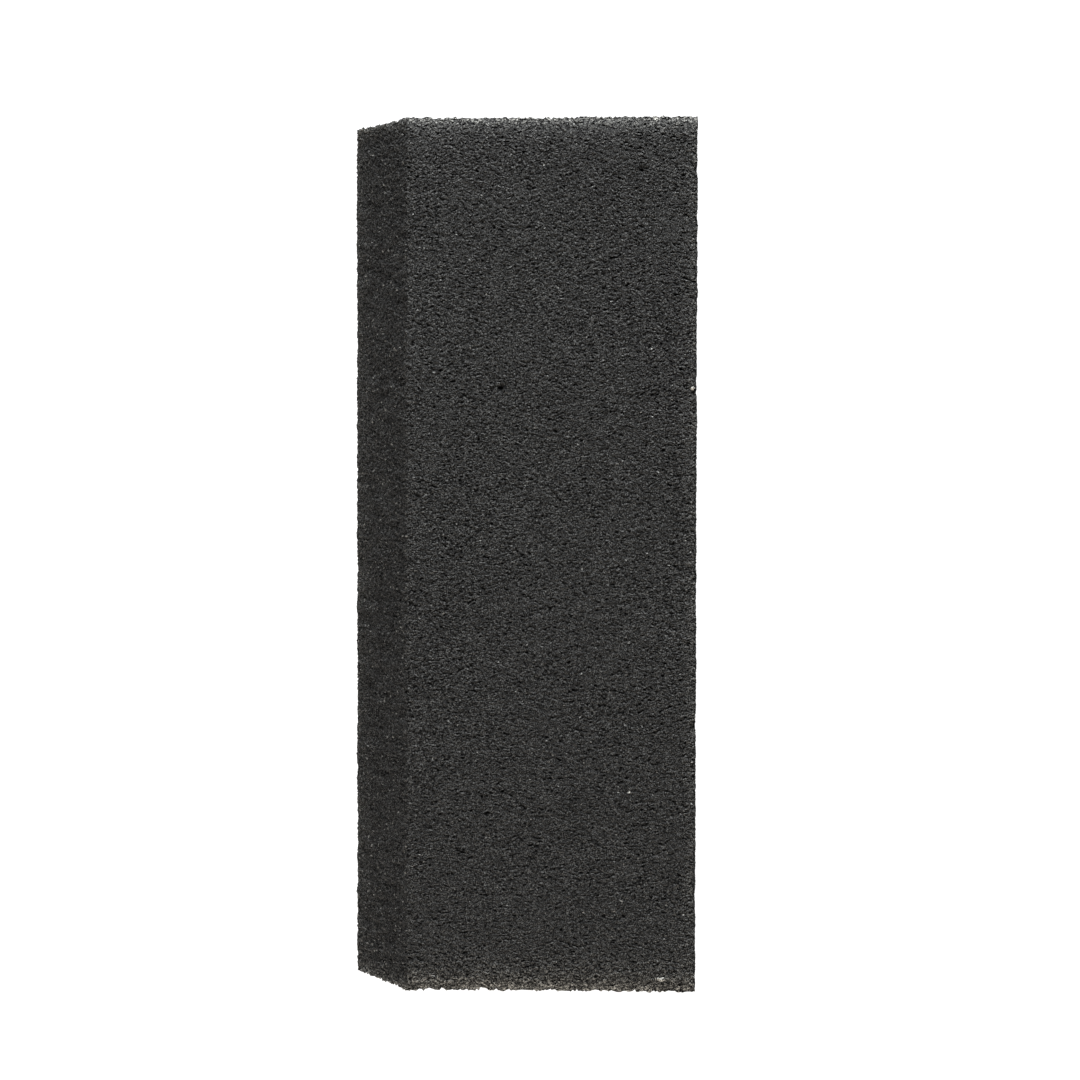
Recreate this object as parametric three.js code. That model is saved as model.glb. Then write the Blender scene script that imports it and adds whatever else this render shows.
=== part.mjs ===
// A flexible foam sanding block with one angled long edge, in millimetres.
//
// It lies flat on its wide face: +X runs across it, +Y along it and +Z up. The origin is on the
// resting face, under the middle of the block. The angled edge is on the -X side and leans in as
// it rises, so the face on top is narrower than the face underneath.
//
// A foam core is coated on its two broad faces and its two long edges. Each coat is two layers:
// a resin bond against the foam, and the grit held in it. The coats meet in a mitre at each long
// corner. Both ends are cut through the coats and the foam, so they are bare.

import * as THREE from 'three';

// Driving dimensions, over the grit.
const LENGTH = 203.2;
const THICKNESS = 25.4;
const WIDE_FACE = 82;
const EDGE_LEAN = 30;
const CORNER_ROUND = 1;

// Thicknesses of the two layers of a coat.
const GRIT_DEPTH = 0.55;
const BOND_DEPTH = 0.3;

// Steps in the arc of each long corner, an even number so that a step falls on the mitre.
const CORNER_STEPS = 8;

const radians = THREE.MathUtils.degToRad;

// The angled edge and the wide face meet in a sharp corner that rounding cuts back by this much.
const TIP_LOST = CORNER_ROUND * (1 / Math.tan(radians(90 - EDGE_LEAN) / 2) - 1);

// The block's section before its corners are rounded, anticlockwise from the square lower corner.
function sharpSection() {
  const right = (WIDE_FACE - TIP_LOST) / 2;
  const left = right - WIDE_FACE;
  return [
    new THREE.Vector2(right, 0),
    new THREE.Vector2(right, THICKNESS),
    new THREE.Vector2(left + THICKNESS * Math.tan(radians(EDGE_LEAN)), THICKNESS),
    new THREE.Vector2(left, 0),
  ];
}

// The outward normal of the side that runs from one corner to the next.
function sideNormal(from, to) {
  const along = to.clone().sub(from).normalize();
  return new THREE.Vector2(along.y, -along.x);
}

// The rounded section at a depth below the grit's surface: for each corner, the points of its
// arc. The arcs at every depth share their centres, so each layer is equally thick all the way.
function roundedCorners(depth) {
  const corners = sharpSection();
  return corners.map((corner, i) => {
    const before = corners[(i + corners.length - 1) % corners.length];
    const after = corners[(i + 1) % corners.length];
    const startNormal = sideNormal(before, corner);
    const endNormal = sideNormal(corner, after);
    const middle = startNormal.clone().add(endNormal).normalize();
    const inset = CORNER_ROUND / middle.dot(startNormal);
    const centre = corner.clone().addScaledVector(middle, -inset);
    const turn = Math.acos(startNormal.dot(endNormal));
    const start = startNormal.angle();
    const points = [];
    for (let step = 0; step <= CORNER_STEPS; step += 1) {
      const angle = start + (turn * step) / CORNER_STEPS;
      const radius = CORNER_ROUND - depth;
      points.push(new THREE.Vector2(
        centre.x + radius * Math.cos(angle),
        centre.y + radius * Math.sin(angle),
      ));
    }
    return points;
  });
}

// One side of the section, from the mitre of one corner to the mitre of the next.
function sideLine(corners, side) {
  const half = CORNER_STEPS / 2;
  const next = corners[(side + 1) % corners.length];
  return [...corners[side].slice(half), ...next.slice(0, half + 1)];
}

// A length of the block with the given section, from end to end.
function cutLength(outline) {
  const geometry = new THREE.ExtrudeGeometry(new THREE.Shape(outline), {
    depth: LENGTH,
    bevelEnabled: false,
  });
  geometry.translate(0, 0, -LENGTH / 2);
  geometry.rotateX(Math.PI / 2);
  return geometry;
}

// One layer on one side, between two depths below the surface.
function coatLayer(side, outerDepth, innerDepth) {
  const outer = sideLine(roundedCorners(outerDepth), side);
  const inner = sideLine(roundedCorners(innerDepth), side);
  return cutLength([...outer, ...inner.reverse()]);
}

// The foam under the coats.
function foamCore() {
  return cutLength(roundedCorners(GRIT_DEPTH + BOND_DEPTH).flat());
}

const foam = new THREE.MeshStandardMaterial({ color: 0x4b4b4a, roughness: 0.95, metalness: 0 });
const resin = new THREE.MeshStandardMaterial({ color: 0x1f1e1d, roughness: 0.5, metalness: 0 });
const mineral = new THREE.MeshStandardMaterial({ color: 0x353534, roughness: 0.8, metalness: 0 });

function piece(name, geometry, material) {
  const mesh = new THREE.Mesh(geometry, material);
  mesh.name = name;
  return mesh;
}

const block = new THREE.Group();
block.add(piece('foam_core', foamCore(), foam));

// The sides in the order of the section: each runs from its corner to the next.
const SIDES = ['square_edge', 'narrow_face', 'angled_edge', 'wide_face'];
SIDES.forEach((name, side) => {
  const bond = coatLayer(side, GRIT_DEPTH, GRIT_DEPTH + BOND_DEPTH);
  const grit = coatLayer(side, 0, GRIT_DEPTH);
  block.add(piece(`${name}_bond_coat`, bond, resin));
  block.add(piece(`${name}_grit_coat`, grit, mineral));
});

export default block;
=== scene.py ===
"""A flexible foam sanding block with one angled long edge, lying on its wide face."""

import math

import bmesh
import bpy
from mathutils import Euler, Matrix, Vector, noise


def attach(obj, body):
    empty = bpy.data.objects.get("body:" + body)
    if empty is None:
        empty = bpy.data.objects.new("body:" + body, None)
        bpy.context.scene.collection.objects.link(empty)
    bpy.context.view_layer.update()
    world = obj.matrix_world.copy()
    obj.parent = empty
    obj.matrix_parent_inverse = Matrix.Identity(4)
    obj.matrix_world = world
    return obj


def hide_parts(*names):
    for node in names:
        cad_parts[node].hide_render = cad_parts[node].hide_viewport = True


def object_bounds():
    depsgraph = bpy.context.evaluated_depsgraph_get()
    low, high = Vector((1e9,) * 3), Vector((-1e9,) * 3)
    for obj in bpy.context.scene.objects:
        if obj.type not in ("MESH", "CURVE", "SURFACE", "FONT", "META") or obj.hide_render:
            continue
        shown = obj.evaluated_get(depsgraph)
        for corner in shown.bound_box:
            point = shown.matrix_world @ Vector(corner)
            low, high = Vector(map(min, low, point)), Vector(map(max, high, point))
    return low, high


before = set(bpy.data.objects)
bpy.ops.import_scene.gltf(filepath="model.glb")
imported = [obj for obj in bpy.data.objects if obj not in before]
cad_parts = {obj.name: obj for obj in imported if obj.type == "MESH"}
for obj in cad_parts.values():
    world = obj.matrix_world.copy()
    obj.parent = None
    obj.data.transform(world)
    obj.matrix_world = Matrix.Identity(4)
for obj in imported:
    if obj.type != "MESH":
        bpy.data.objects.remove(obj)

cad_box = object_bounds()
MM = 0.001

# The camera looks almost straight down on the narrow face, a little from the square edge's side,
# so that the angled edge shows along the left.
camera = bpy.data.objects.new("camera", bpy.data.cameras.new("camera"))
camera.data.lens = 92
camera.data.sensor_width = 36
camera.location = (24.9 * MM, 25.3 * MM, 666.5 * MM)
camera.rotation_euler = Euler([math.radians(turn) for turn in (-1.917, 1.845, 0.081)])
bpy.context.collection.objects.link(camera)
bpy.context.scene.camera = camera
bpy.context.scene.view_settings.view_transform = "Standard"


# ---------------------------------------------------------------------------------------------
# Two softboxes of one size rake along the block's length. The stronger one is cool and stands
# beyond the far end, and the weaker one is warm and stands beyond the near end.
SOFTBOX_WIDTH = 0.5
SOFTBOX_HEIGHT = 0.16


def softbox(name, place, aim, watts, colour):
    """A flat lamp at a place, turned to shine at its aim."""
    lamp = bpy.data.lights.new(name, "AREA")
    lamp.shape = "RECTANGLE"
    lamp.size = SOFTBOX_WIDTH
    lamp.size_y = SOFTBOX_HEIGHT
    lamp.energy = watts
    lamp.color = colour
    box = bpy.data.objects.new(name, lamp)
    box.location = place
    box.rotation_euler = (Vector(aim) - Vector(place)).to_track_quat("-Z", "Y").to_euler()
    bpy.context.collection.objects.link(box)


softbox("far_softbox", (0.01, 1.0, 0.24), (0, 0.04, 0.02), 39.0, (0.96, 0.98, 1))
softbox("near_softbox", (-0.15, -1.0, 0.24), (0, -0.04, 0.02), 17.0, (1, 0.93, 0.85))


# ---------------------------------------------------------------------------------------------
# The room round the block is white all over. The camera sees it at its full brightness, but it
# lights the block only softly.
ROOM_LIGHT = 0.078
ROOM_SEEN = 1.0


def glow(tree, lighting, seen):
    """The strength of a glow that lights things by one amount and is seen as another."""
    ray = tree.nodes.new("ShaderNodeLightPath")
    strength = tree.nodes.new("ShaderNodeMapRange")
    strength.inputs["To Min"].default_value = lighting
    strength.inputs["To Max"].default_value = seen
    tree.links.new(ray.outputs["Is Camera Ray"], strength.inputs["Value"])
    return strength.outputs["Result"]


white_room = bpy.data.worlds.new("white_room")
white_room.use_nodes = True
bpy.context.scene.world = white_room
room_tree = white_room.node_tree
background = room_tree.nodes["Background"]
background.inputs["Color"].default_value = (1, 1, 1, 1)
room_tree.links.new(glow(room_tree, ROOM_LIGHT, ROOM_SEEN), background.inputs["Strength"])


# ---------------------------------------------------------------------------------------------
# The table is a plain white matte sheet, lying level under the block. It glows almost white to
# the camera and gives the block little light, so that shadows on it stay faint.
TABLE_HALF_SIZE = 3.0
TABLE_LIGHT = 0.085
TABLE_SEEN = 0.97


def new_paint(name):
    """A new material, with its nodes, its links and its shader."""
    paint = bpy.data.materials.new(name)
    paint.use_nodes = True
    tree = paint.node_tree
    return paint, tree.nodes, tree.links, tree.nodes["Principled BSDF"]


def finished(name, shape, paint):
    """A piece made from its shape, in its paint, and put into the scene."""
    mesh = bpy.data.meshes.new(name)
    shape.to_mesh(mesh)
    shape.free()
    mesh.materials.append(paint)
    piece = bpy.data.objects.new(name, mesh)
    bpy.context.collection.objects.link(piece)
    return piece


white_sheet, nodes, links, shader = new_paint("white_sheet")
shader.inputs["Base Color"].default_value = (0.35, 0.35, 0.35, 1)
shader.inputs["Roughness"].default_value = 0.9
shader.inputs["Specular IOR Level"].default_value = 0.1
shader.inputs["Emission Color"].default_value = (1, 1, 1, 1)
links.new(glow(white_sheet.node_tree, TABLE_LIGHT, TABLE_SEEN), shader.inputs["Emission Strength"])

sheet = bmesh.new()
bmesh.ops.create_grid(sheet, x_segments=1, y_segments=1, size=TABLE_HALF_SIZE)
table = finished("table", sheet, white_sheet)


# ---------------------------------------------------------------------------------------------
# The foam core is a charcoal polyurethane slab, sawn to length with one long edge sawn at a
# lean. Its two ends are bare: the saw opened the bubbles there, ran a little askew, and dragged
# the narrow face down.
EDGE_LEAN = math.radians(30)
CORNER_ROUND = 1.0 * MM
GRIT_DEPTH = 0.55 * MM
BOND_DEPTH = 0.3 * MM
half_width = cad_box[1][0]
half_length = cad_box[1][1]
thickness = cad_box[1][2]

# The block's section with sharp corners, anticlockwise from the square lower corner. Side 0 is
# the square edge, and the others follow it round: narrow face, angled edge, wide face. Rounding
# takes a little off the tip of the thin corner, so the sharp one lies further out than the box.
tip_lost = CORNER_ROUND * (1 / math.tan((math.pi / 2 - EDGE_LEAN) / 2) - 1)
left = -half_width - tip_lost
SHARP = [
    Vector((half_width, 0)),
    Vector((half_width, thickness)),
    Vector((left + thickness * math.tan(EDGE_LEAN), thickness)),
    Vector((left, 0)),
]


def outward(side):
    """The direction out of the section on one of its sides."""
    along = (SHARP[(side + 1) % 4] - SHARP[side]).normalized()
    return Vector((along.y, -along.x))


def inset(corner, depth):
    """A corner of the section, brought in by the same depth from both of its sides."""
    start = outward((corner - 1) % 4)
    middle = (start + outward(corner)).normalized()
    return SHARP[corner] - middle * (depth / middle.dot(start))


SAG = 1.1 * MM
SAG_REACH = 2.2 * MM


def sagged(place):
    """A place after sawing, which drags the narrow face down a little towards both ends."""
    inward = max(half_length - abs(place.y), 0)
    drop = SAG * math.exp(-inward / SAG_REACH) * (place.z / thickness) ** 2
    return Vector((place.x, place.y, place.z - drop))


RIDGE_PROUD = 0.22 * MM
RIDGE_REACH = 4 * MM
FAR_END_SHORT = 0.15 * MM
FAR_END_SKEW = 0.35 * MM
NEAR_END_SKEW = 0.15 * MM


def cut_end(place):
    """How far an end stands out at a place on it. The saw ran a little askew, and left the ridge
    between the narrow face and the angled edge a little proud."""
    high = place.z / thickness
    from_ridge = (Vector((place.x, place.z)) - SHARP[2]).length
    proud = RIDGE_PROUD * math.exp(-((from_ridge / RIDGE_REACH) ** 2))
    if place.y > 0:
        across = (half_width + place.x) / (2 * half_width)
        return proud + FAR_END_SKEW * high * across - FAR_END_SHORT
    return proud + NEAR_END_SKEW * high


CORE_DEPTH = GRIT_DEPTH + BOND_DEPTH
FACETS_ACROSS = 330
FACETS_UP = 110
RINGS = (0.3, 0.7, 1.2, 2, 3, 4.5, 7, 12, 25, 45, 70)  # in millimetres back from an end
BUBBLE = 1.05 * MM
BUBBLE_WALL = 0.35
BUBBLE_DEPTH = 0.55 * MM
END_SET_BACK = 0.3 * MM
TORN_SHARE = 0.2  # of a bubble's depth
TORN_DEPTH = 0.05 * MM
SPECK = 0.05 * MM  # places further apart than this get different random numbers
MERGE = 1e-7

# One end is drawn back ring by ring to the middle, mirrored, and then fitted to the section.
core = bmesh.new()
bmesh.ops.create_grid(core, x_segments=FACETS_ACROSS, y_segments=FACETS_UP, size=1)
bmesh.ops.translate(core, verts=core.verts, vec=(0, 0, half_length))
rim = [e for e in core.edges if e.is_boundary]
for back in (*RINGS, half_length / MM):
    grown = bmesh.ops.extrude_edge_only(core, edges=rim)["geom"]
    rim = [e for e in grown if isinstance(e, bmesh.types.BMEdge) and e.is_boundary]
    for v in {v for e in rim for v in e.verts}:
        v.co.z = half_length - back * MM
whole = core.faces[:] + core.edges[:] + core.verts[:]
bmesh.ops.mirror(core, geom=whole, axis="Z", merge_dist=MERGE)
core_painted_shade = core.verts.layers.float.new("painted_shade")
for v in core.verts:
    low = inset(3, CORE_DEPTH).lerp(inset(0, CORE_DEPTH), (v.co.x + 1) / 2)
    high = inset(2, CORE_DEPTH).lerp(inset(1, CORE_DEPTH), (v.co.x + 1) / 2)
    point = low.lerp(high, (v.co.y + 1) / 2)
    length = v.co.z
    place = Vector((point.x, length, point.y))
    if abs(length) > half_length - MERGE:
        near, far = noise.voronoi(place / BUBBLE)[0][:2]
        torn = noise.cell(place / SPECK)
        pit = min((far - near) / BUBBLE_WALL, 1) * (1 + TORN_SHARE * torn)
        back = END_SET_BACK + pit * BUBBLE_DEPTH + torn * TORN_DEPTH
        place.y += math.copysign(1, length) * (cut_end(place) - back)
        # How far into a bubble a place lies sets how much painted shade it gets.
        v[core_painted_shade] = min(pit, 1)
    v.co = sagged(place)
bmesh.ops.recalc_face_normals(core, faces=core.faces[:])


def written(nodes, name):
    """The number that a piece's mesh holds under a name, at each point of it."""
    number = nodes.new("ShaderNodeAttribute")
    number.attribute_name = name
    return number.outputs["Fac"]


def fine_noise(nodes, links, scale, detail, stretch=(1, 1, 1)):
    """Noise that is fixed to a piece, with so many cells to the metre."""
    spot = nodes.new("ShaderNodeTexCoord")
    stretched = nodes.new("ShaderNodeVectorMath")
    stretched.operation = "MULTIPLY"
    stretched.inputs[1].default_value = stretch
    cloud = nodes.new("ShaderNodeTexNoise")
    cloud.inputs["Scale"].default_value = scale
    cloud.inputs["Detail"].default_value = detail
    links.new(spot.outputs["Object"], stretched.inputs[0])
    links.new(stretched.outputs["Vector"], cloud.inputs["Vector"])
    return cloud.outputs["Fac"]


def spread(nodes, links, value, low, high, least, most):
    """A value's part from low to high, made to run from least to most."""
    ranged = nodes.new("ShaderNodeMapRange")
    for name, amount in zip(("From Min", "From Max", "To Min", "To Max"), (low, high, least, most)):
        ranged.inputs[name].default_value = amount
    links.new(value, ranged.inputs["Value"])
    return ranged.outputs["Result"]


def mottled(nodes, links, colour, amount):
    """A colour, or a colour output, made lighter and darker by an amount that varies."""
    scaled = nodes.new("ShaderNodeVectorMath")
    scaled.operation = "SCALE"
    if isinstance(colour, tuple):
        scaled.inputs[0].default_value = colour
    else:
        links.new(colour, scaled.inputs[0])
    links.new(amount, scaled.inputs["Scale"])
    return scaled.outputs["Vector"]


def pitted(nodes, links, shader, height, depth):
    """Roughens a material's surface by a height that varies, to so many metres deep."""
    bump = nodes.new("ShaderNodeBump")
    bump.inputs["Strength"].default_value = 1.0
    bump.inputs["Distance"].default_value = depth
    links.new(height, bump.inputs["Height"])
    links.new(bump.outputs["Normal"], shader.inputs["Normal"])


# Walls between bubbles are the foam's own charcoal, and the insides of bubbles are painted
# darker as shade.
charcoal_foam, nodes, links, shader = new_paint("charcoal_foam")
tint = nodes.new("ShaderNodeValToRGB")
tint.color_ramp.elements[0].color = (0.042, 0.042, 0.04, 1)
tint.color_ramp.elements[1].color = (0.01, 0.01, 0.0095, 1)
links.new(written(nodes, "painted_shade"), tint.inputs["Fac"])
fuzz = spread(nodes, links, fine_noise(nodes, links, 2500, 2), 0.35, 0.65, 0.7, 1.3)
links.new(mottled(nodes, links, tint.outputs["Color"], fuzz), shader.inputs["Base Color"])
pitted(nodes, links, shader, fine_noise(nodes, links, 4000, 1), 0.1 * MM)
shader.inputs["Roughness"].default_value = 0.85
shader.inputs["Specular IOR Level"].default_value = 0.3

foam = finished("foam", core, charcoal_foam)
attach(foam, "root")
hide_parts("foam_core")


# ---------------------------------------------------------------------------------------------
# The bond coats are black resin, rolled on to each long side of the foam and soaked into its
# skin. Only their edges show, as a thin dark line round the bare ends.
SIDES = ["square_edge", "narrow_face", "angled_edge", "wide_face"]
ROW = 0.33 * MM
BOND_COLUMN = 2.5 * MM
BOND_SHORT = 1.1 * MM
UNDERCUT = 0.9 * MM


def spans(side):
    """The lengths of a side's first half corner, its flat and its last half corner."""
    turns = [outward((i - 1) % 4).angle(outward(i)) for i in (side, (side + 1) % 4)]
    flat = (inset((side + 1) % 4, CORNER_ROUND) - inset(side, CORNER_ROUND)).length
    return CORNER_ROUND * turns[0] / 2, flat, CORNER_ROUND * turns[1] / 2


def on_side(side, share, length, depth):
    """The place at a share of the way across a side, and the direction out of the block there."""
    first, flat, last = spans(side)
    run = share * (first + flat + last)
    out = outward(side)
    angle = math.atan2(out.y, out.x)
    centre = inset(side, CORNER_ROUND)
    if run < first:
        angle -= (first - run) / CORNER_ROUND
    elif run > first + flat:
        angle += (run - first - flat) / CORNER_ROUND
    centre = centre.lerp(inset((side + 1) % 4, CORNER_ROUND), min(max((run - first) / flat, 0), 1))
    out = Vector((math.cos(angle), math.sin(angle)))
    point = centre + out * (CORNER_ROUND - depth)
    return Vector((point.x, length, point.y)), Vector((out.x, 0, out.y))


def wrapped_coat(side, across, top, bottom, shorter, shape):
    """A closed layer on a side, between two depths, stopping shorter than the block at each end
    and undercut there. Its outer skin's vertices are placed by shape(place, out, inside),
    which also tells how much painted shade and how pale the skin is there."""
    first, flat, last = spans(side)
    total = first + flat + last
    # The skin runs once across on the outside, and back underneath with a few columns at the
    # rounded corners, to end where it began.
    under = [1, 1 - last / total / 2, 1 - last / total, first / total, first / total / 2, 0]
    shares = [i / across for i in range(across + 1)] + under + [0]
    columns = len(shares) - 1
    coat = bmesh.new()
    bmesh.ops.create_grid(coat, x_segments=columns, y_segments=round(2 * half_length / ROW), size=1)
    painted_shade_layer = coat.verts.layers.float.new("painted_shade")
    pale_layer = coat.verts.layers.float.new("pale")
    for v in coat.verts:
        column = round((v.co.x + 1) / 2 * columns)
        outer = column <= across or column == columns
        length = v.co.y * (half_length - shorter - (0 if outer else UNDERCUT))
        place, out = on_side(side, shares[column], length, top if outer else bottom)
        if outer:
            place, v[painted_shade_layer], v[pale_layer] = shape(place, out, 0 < column < across)
        v.co = sagged(place)
    bmesh.ops.remove_doubles(coat, verts=[v for v in coat.verts if v.is_boundary], dist=1e-8)
    ends = bmesh.ops.holes_fill(coat, edges=[e for e in coat.edges if e.is_boundary])["faces"]
    bmesh.ops.triangulate(coat, faces=ends, ngon_method="BEAUTY")
    bmesh.ops.recalc_face_normals(coat, faces=coat.faces[:])
    if coat.calc_volume(signed=True) < 0:
        bmesh.ops.reverse_faces(coat, faces=coat.faces[:])
    return coat


def resin_skin(place, out, inside):
    """Resin lies smooth, with no painted shade and no paleness."""
    return place, 0.0, 0.0


black_resin, nodes, links, shader = new_paint("black_resin")
cloud = fine_noise(nodes, links, 1200, 3)
blotch = spread(nodes, links, cloud, 0.35, 0.65, 0.6, 1.4)
links.new(mottled(nodes, links, (0.012, 0.011, 0.01), blotch), shader.inputs["Base Color"])
links.new(spread(nodes, links, cloud, 0.3, 0.7, 0.25, 0.5), shader.inputs["Roughness"])
pitted(nodes, links, shader, cloud, 0.1 * MM)

for side, name in enumerate(SIDES):
    across = round(sum(spans(side)) / BOND_COLUMN)
    coat = wrapped_coat(side, across, GRIT_DEPTH, CORE_DEPTH, BOND_SHORT, resin_skin)
    bond = finished(name + "_bond", coat, black_resin)
    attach(bond, "root")
    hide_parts(name + "_bond_coat")


# ---------------------------------------------------------------------------------------------
# The grit coats are sharp dark mineral grains, strewn on the wet bond and locked with more
# resin. Grains stand proud as small facets, and between them lie deep pits painted black as shade.
GAPS = [0.5 * MM, 0.45 * MM, 0.45 * MM, 0.55 * MM]  # from grain to grain across each side
ROUGHNESS = [1.2, 1.0, 1.5, 1.0]  # how rough each side is beside the narrow face
BULGE = [-0.08 * MM, 0, 0.08 * MM, 0]  # how far each side stands out
GRAIN_RISE = 0.08 * MM
SCATTER_ACROSS = 0.19 * MM
SCATTER_ALONG = 0.14 * MM
PATCH = 2.6 * MM  # the size of the patches where grains are taller and pits are fewer
PATCH_RISE = 0.3
PATCH_PITS = 0.08
PITS_ABOVE = 0.91  # of random numbers up to 1
PIT_DEPTH = 0.22 * MM
THINNEST = 0.05 * MM
WAVE_LENGTH = 19 * MM
WAVE_RISE = 0.12 * MM
RIPPLE_LENGTH = 3 * MM
RIPPLE_RISE = 0.25 * MM
# The angled edge is painted a little darker all over, as shade.
ANGLED_EDGE_PAINTED_SHADE = 0.08
# How pale wear and painted rim light make the grains, and the palest they get.
PALENESS = 0.5
PALEST = 0.4


def luck(place):
    """Three random numbers from -1 to 1, which belong to the grain at a place."""
    shifts = ((0, 0, 0), (31, 17, 5), (7, 43, 23))
    return [noise.cell(place / SPECK + Vector(shift)) for shift in shifts]


def waviness(place, side):
    """How far a coat follows the foam's long waves, and on the long edges also its ripples."""
    wave = noise.noise(place / WAVE_LENGTH) * WAVE_RISE + BULGE[side]
    if side in (0, 2):
        wave += noise.noise(place / RIPPLE_LENGTH * Vector((0, 1, 0.4))) * RIPPLE_RISE
    return wave


# How much each long corner pales, partly from rubbing and partly as painted rim light, and how
# far that reaches, then the same for the ends.
CORNER_WEAR_AND_RIM_LIGHT = [(0.04, 1.2 * MM), (0.08, 1.2 * MM), (0.01, 1.2 * MM), (0.06, 4 * MM)]
END_WEAR_AND_RIM_LIGHT = (0.12, 0.17)  # at the far end and the near end
END_WEAR_AND_RIM_LIGHT_REACH = 1.0 * MM
FACE_WEAR_AND_RIM_LIGHT = (0.04, 0.18)  # more of it on the narrow face, at the far end and the near end
FACE_WEAR_AND_RIM_LIGHT_REACH = 2.8 * MM
CHIPS_BELOW = -0.94  # of random numbers down to -1
CHIP_WEAR = 0.15


def wear_and_rim_light(place, side, chance):
    """How pale a place turns, mostly near the ends and the long corners: partly rubbed by handling,
    partly painted rim light. On the angled edge a few grains are also chipped."""
    inward = half_length - abs(place.y)
    end = 0 if place.y > 0 else 1
    worn_and_lit = END_WEAR_AND_RIM_LIGHT[end] * math.exp(-inward / END_WEAR_AND_RIM_LIGHT_REACH)
    for corner in (side, (side + 1) % 4):
        amount, reach = CORNER_WEAR_AND_RIM_LIGHT[corner]
        worn_and_lit += amount * math.exp(-(Vector((place.x, place.z)) - SHARP[corner]).length / reach)
    if side == 1:
        worn_and_lit += FACE_WEAR_AND_RIM_LIGHT[end] * math.exp(-inward / FACE_WEAR_AND_RIM_LIGHT_REACH)
    if side == 2 and chance < CHIPS_BELOW:
        worn_and_lit += CHIP_WEAR
    return worn_and_lit


DENTS = [  # place, reach and depth: an open pore, a hollow and nicks in the square edge
    (Vector((-4.9, 39.1, 25.4)) * MM, 0.7 * MM, 0.6 * MM),
    (Vector((27.8, 89.5, 25.4)) * MM, 0.65 * MM, 0.5 * MM),
    (Vector((40.2, 38.2, 25.2)) * MM, 0.7 * MM, 0.6 * MM),
    (Vector((40.6, -39.9, 25.0)) * MM, 1.2 * MM, 0.35 * MM),
    (Vector((40.6, 89.6, 25.0)) * MM, 0.8 * MM, 0.35 * MM),
]
FLAKES = [  # place, half width and half length of the white flakes lying on the narrow face
    (Vector((32.7, -98.9, 25.4)) * MM, 0.7 * MM, 0.3 * MM),
    (Vector((39.6, 39.0, 25.4)) * MM, 0.45 * MM, 0.35 * MM),
    (Vector((31.2, 101.3, 25.4)) * MM, 0.3 * MM, 0.4 * MM),
    (Vector((25.1, -54.9, 25.4)) * MM, 0.2 * MM, 0.2 * MM),
]
# Dents are painted darker as shade, fully black at this depth.
FULL_SHADE_DEPTH = 0.4 * MM  # a dent this deep is black
FLAKE_RISE = 0.15 * MM
FLAKE_PALE = 3.0


def marked(place, lift, painted_shade, pale):
    """A grain's lift, painted shade and pale after the dents and the flakes have changed them."""
    for middle, reach, depth in DENTS:
        away = ((place - middle) * Vector((1, 1, 0.1))).length
        if away < 3 * reach:
            dent = math.exp(-((away / reach) ** 2))
            lift -= depth * dent
            # The deeper a dent, the darker it is painted, as shade.
            painted_shade = max(painted_shade, min(dent * depth / FULL_SHADE_DEPTH, 1))
    for middle, half_wide, half_long in FLAKES:
        if abs(place.x - middle.x) < half_wide and abs(place.y - middle.y) < half_long:
            lift += FLAKE_RISE
            painted_shade = 0.0
            pale = FLAKE_PALE
    return lift, painted_shade, pale


NOTCHES = [  # place along the end, half width and depth of the gaps torn out of the near end
    (-9.1 * MM, 0.7 * MM, 0.9 * MM),
    (-21.5 * MM, 0.65 * MM, 0.6 * MM),
]
FRAY_REACH = 1.2 * MM
FRAY_LENGTH = 0.9 * MM
FRAY = (0.6 * MM, 0.9 * MM)  # at the far end and the near end
GRAIN_FRAY = 0.15 * MM
OVERHANG = 0.25 * MM


def frayed(place, side, chance):
    """How far a place moves along the block, to end the coat with the cut and fray it there. All
    sides but the wide face hang over the cut a little."""
    length = place.y
    ragged = abs(noise.noise(place * Vector((1, 0, 1)) / FRAY_LENGTH + Vector((0, length, 0))))
    back = ragged * FRAY[0 if length > 0 else 1] + chance * GRAIN_FRAY
    if side != 3:
        back -= OVERHANG
    if length < 0 and side == 1:
        for middle, half_wide, deep in NOTCHES:
            back += deep * math.exp(-(((place.x - middle) / half_wide) ** 4))
    near = math.exp(-(((half_length - abs(length)) / FRAY_REACH) ** 2))
    return math.copysign(near, length) * (cut_end(place) - back)


def rough_skin(side):
    """A function that places the grains of one side's outer skin, for wrapped_coat."""
    strength = ROUGHNESS[side]

    def shape(place, out, inside):
        first, second, third = luck(place)
        patch = noise.noise(place / PATCH)
        lift = (first + second) * GRAIN_RISE * strength * (1 + PATCH_RISE * patch)
        painted_shade = ANGLED_EDGE_PAINTED_SHADE if side == 2 else 0.0
        # A pit is sunk, and also painted fully black as shade.
        if third > PITS_ABOVE + PATCH_PITS * patch:
            lift -= PIT_DEPTH * strength
            painted_shade = 1.0
        lift += waviness(place, side)
        # Rubbed places and rims turn pale, partly from wear and partly as painted rim light.
        pale = min(wear_and_rim_light(place, side, third) * PALENESS * (1 + second) ** 3, PALEST)
        if side in (0, 1):
            lift, painted_shade, pale = marked(place, lift, painted_shade, pale)
        moved = place + out * max(lift, THINNEST - GRIT_DEPTH)
        if inside:
            moved += Vector((-out.z, 0, out.x)) * second * SCATTER_ACROSS
            moved.y += third * SCATTER_ALONG
        moved.y += frayed(place, side, first)
        return moved, painted_shade, pale

    return shape


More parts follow.
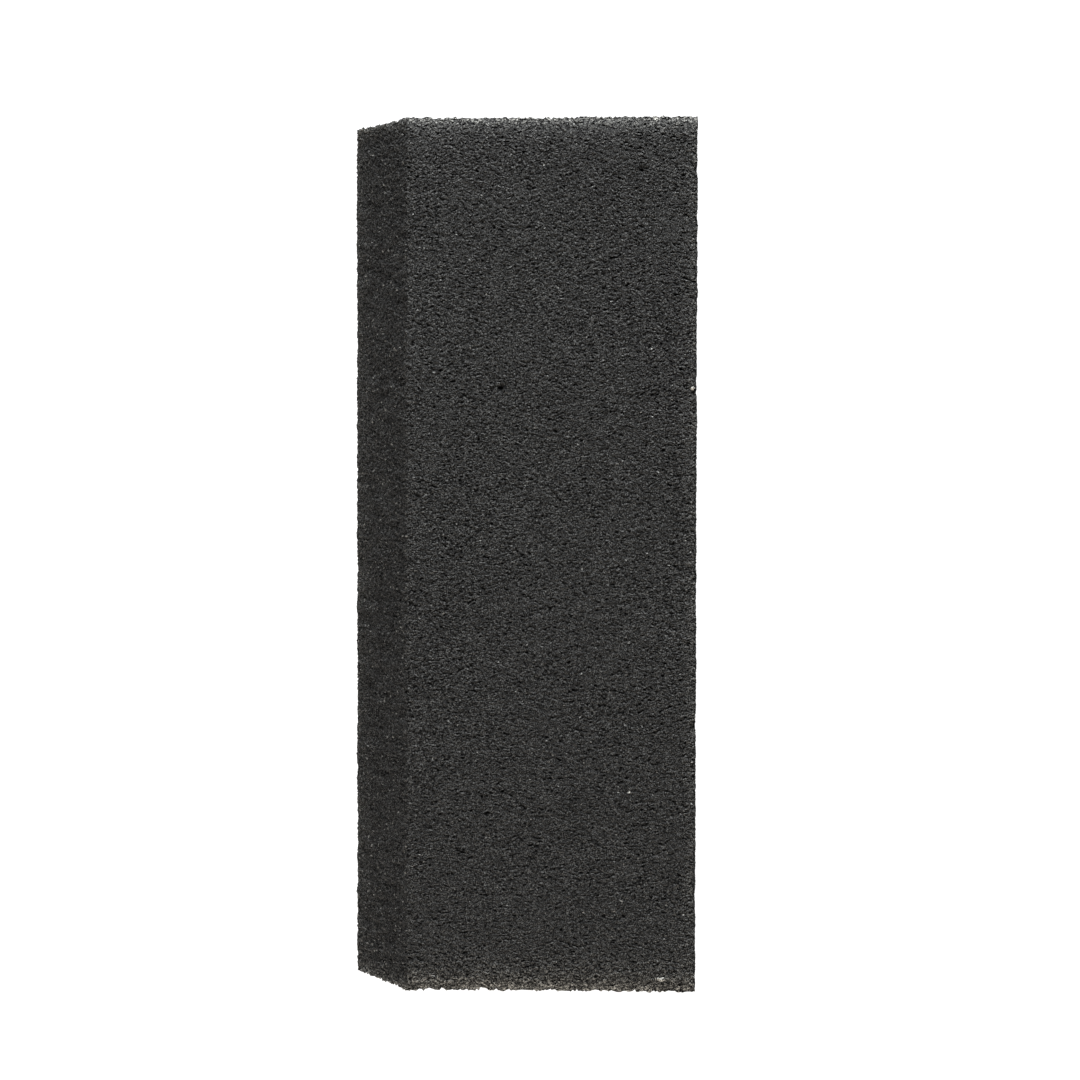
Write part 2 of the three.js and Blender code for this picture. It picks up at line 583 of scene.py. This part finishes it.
def towards(nodes, links, colour, other, share):
    """A colour output, taken by a share that varies towards another colour."""
    mix = nodes.new("ShaderNodeMix")
    mix.data_type = "RGBA"
    mix.inputs["B"].default_value = other
    links.new(share, mix.inputs["Factor"])
    links.new(colour, mix.inputs["A"])
    return mix.outputs["Result"]


# Each facet of a grain has its own tone, and the brightest few are painted glints, standing in for
# highlights. Speckles finer than the grains lie over that, pits are painted black as shade, and
# worn places and the rims show pale grains, partly as painted rim light.
dark_grit, nodes, links, shader = new_paint("dark_grit")
tint = nodes.new("ShaderNodeValToRGB")
stops = tint.color_ramp.elements
stops[0].color = (0.01, 0.01, 0.01, 1)
stops[1].position = 0.5
stops[1].color = (0.025, 0.025, 0.0245, 1)
# The top two stops are painted highlights: a few facets made bright in colour as glints.
painted_glint = stops.new(0.997)
painted_glint.color = (0.06, 0.06, 0.058, 1)
brightest_painted_glint = stops.new(1.0)
brightest_painted_glint.color = (0.22, 0.22, 0.21, 1)
links.new(written(nodes, "tone"), tint.inputs["Fac"])
speckle = fine_noise(nodes, links, 3300, 0, (1.15, 1.3, 1))
speckle = spread(nodes, links, speckle, 0.4, 0.6, 0, 2.03)
pale_share = nodes.new("ShaderNodeMath")
pale_share.operation = "MULTIPLY"
pale_share.use_clamp = True
links.new(written(nodes, "pale"), pale_share.inputs[0])
links.new(speckle, pale_share.inputs[1])
grit_colour = mottled(nodes, links, tint.outputs["Color"], speckle)
# The painted shade darkens pits, dents and the angled edge towards black.
grit_colour = towards(nodes, links, grit_colour, (0.003, 0.003, 0.003, 1), written(nodes, "painted_shade"))
grit_colour = towards(nodes, links, grit_colour, (0.5, 0.49, 0.45, 1), pale_share.outputs["Value"])
links.new(grit_colour, shader.inputs["Base Color"])
pitted(nodes, links, shader, fine_noise(nodes, links, 5000, 2), 0.3 * MM)
shader.inputs["Roughness"].default_value = 0.8
shader.inputs["Specular IOR Level"].default_value = 0.15

for side, name in enumerate(SIDES):
    across = round(sum(spans(side)) / GAPS[side])
    coat = wrapped_coat(side, across, 0, GRIT_DEPTH, 0, rough_skin(side))
    bmesh.ops.triangulate(coat, faces=coat.faces[:], quad_method="BEAUTY")
    tone = coat.faces.layers.float.new("tone")
    for face in coat.faces:
        face[tone] = noise.cell(face.calc_center_median() / SPECK) / 2 + 0.5
    grit = finished(name + "_grit", coat, dark_grit)
    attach(grit, "root")
    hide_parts(name + "_grit_coat")
